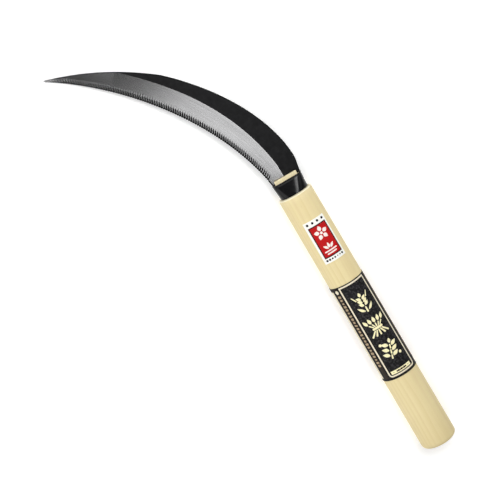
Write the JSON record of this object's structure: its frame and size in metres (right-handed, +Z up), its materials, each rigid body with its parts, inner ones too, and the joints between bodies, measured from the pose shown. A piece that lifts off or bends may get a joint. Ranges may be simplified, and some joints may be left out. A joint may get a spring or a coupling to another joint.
{
  "type": "hand sickle",
  "caption": "Hand sickle with a curved, saw-toothed single-bevel steel blade, a short pressed ferrule and a straight oval wooden handle.",
  "frame": {"origin": "centre of the handle's flat butt face, on the handle's axis", "axes": "+Y along the handle towards the blade, +Z up from the surface that the sickle lies on, blade sweeping to -X"},
  "size_m": [0.1254, 0.3787, 0.0243],
  "materials": {
    "bare_wood": "sanded, unvarnished pale wood",
    "black_ferrule": "glossy black enamel on steel",
    "dark_steel": "dark forged steel with a bright ground bevel",
    "wedge_wood": "sawn pale wood",
    "pin_steel": "plain drawn wire nail",
    "black_film": "printed black film with pale frame lines",
    "red_paper": "printed red and white paper"
  },
  "bodies": {
    "root": {"handle": "bare_wood", "ferrule": "black_ferrule", "blade": "dark_steel", "wedge": "wedge_wood", "tang_pin": "pin_steel", "wrap_label": "black_film", "red_label": "red_paper"}
  },
  "joints": []
}
